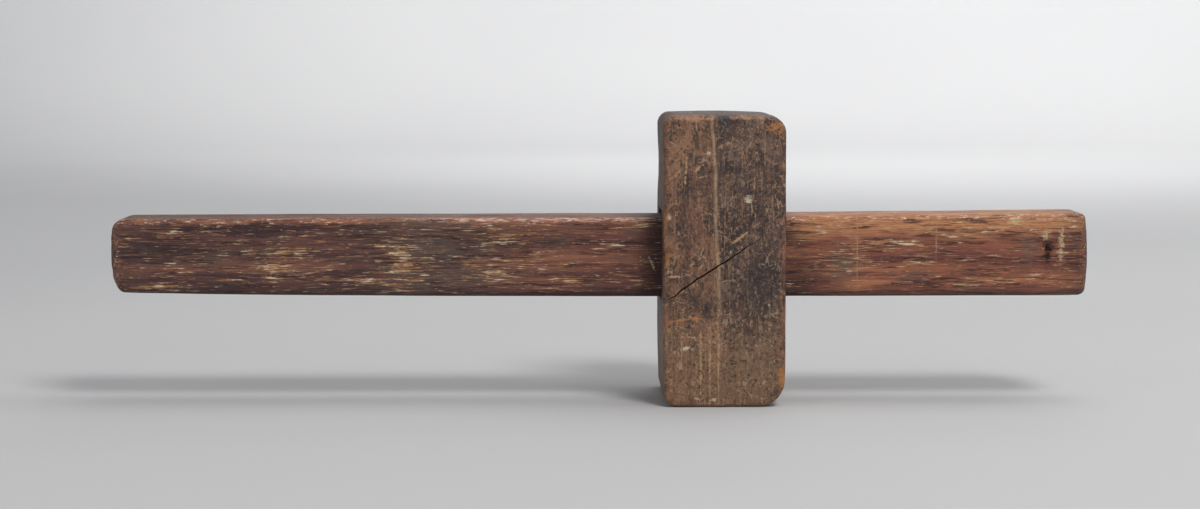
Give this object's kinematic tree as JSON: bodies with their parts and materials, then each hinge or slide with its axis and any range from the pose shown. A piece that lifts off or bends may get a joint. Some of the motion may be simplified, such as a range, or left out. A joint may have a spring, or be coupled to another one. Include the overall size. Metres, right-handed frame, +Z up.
{
  "type": "marking gauge",
  "caption": "Old wooden marking gauge: a square beam with a steel scribing pin slides through a rectangular head and is locked by a wooden thumbscrew behind.",
  "frame": {"origin": "centre of the head's lower end face, on the surface that the head stands on", "axes": "+X along the beam towards the pin, -Y the side that the pin points to, +Z up along the head"},
  "size_m": [0.25, 0.069, 0.074],
  "materials": {
    "head_wood": "worn, hand-polished, dark brown with pale scratches",
    "beam_wood": "worn, lengthwise grain, dark red-brown with orange edges",
    "pin_steel": "dark, lightly rusted",
    "screw_wood": "turned and filed, worn smooth",
    "shoe_wood": "plain sawn, dull"
  },
  "bodies": {
    "head": {"head": "head_wood"},
    "beam": {"beam": "beam_wood", "scribing_pin": "pin_steel"},
    "shoe": {"shoe": "shoe_wood"},
    "thumbscrew": {"thumbscrew": "screw_wood"}
  },
  "joints": [
    {"name": "beam_slide", "type": "slide", "parent": "head", "child": "beam", "axis": [1, 0, 0], "range_m": [-0.066, 0.13]},
    {"name": "shoe_slide", "type": "slide", "parent": "head", "child": "shoe", "axis": [0, 1, 0], "range_m": [0, 0.0021]},
    {"name": "screw_turn", "type": "hinge", "parent": "shoe", "child": "thumbscrew", "pos_m": [0, 0.026, 0.0375], "axis": [0, 1, 0], "range_deg": [0, 240]}
  ],
  "couplings": [
    {"joint": "shoe_slide", "follows": "screw_turn", "m_per_rad": 0.00047746}
  ]
}
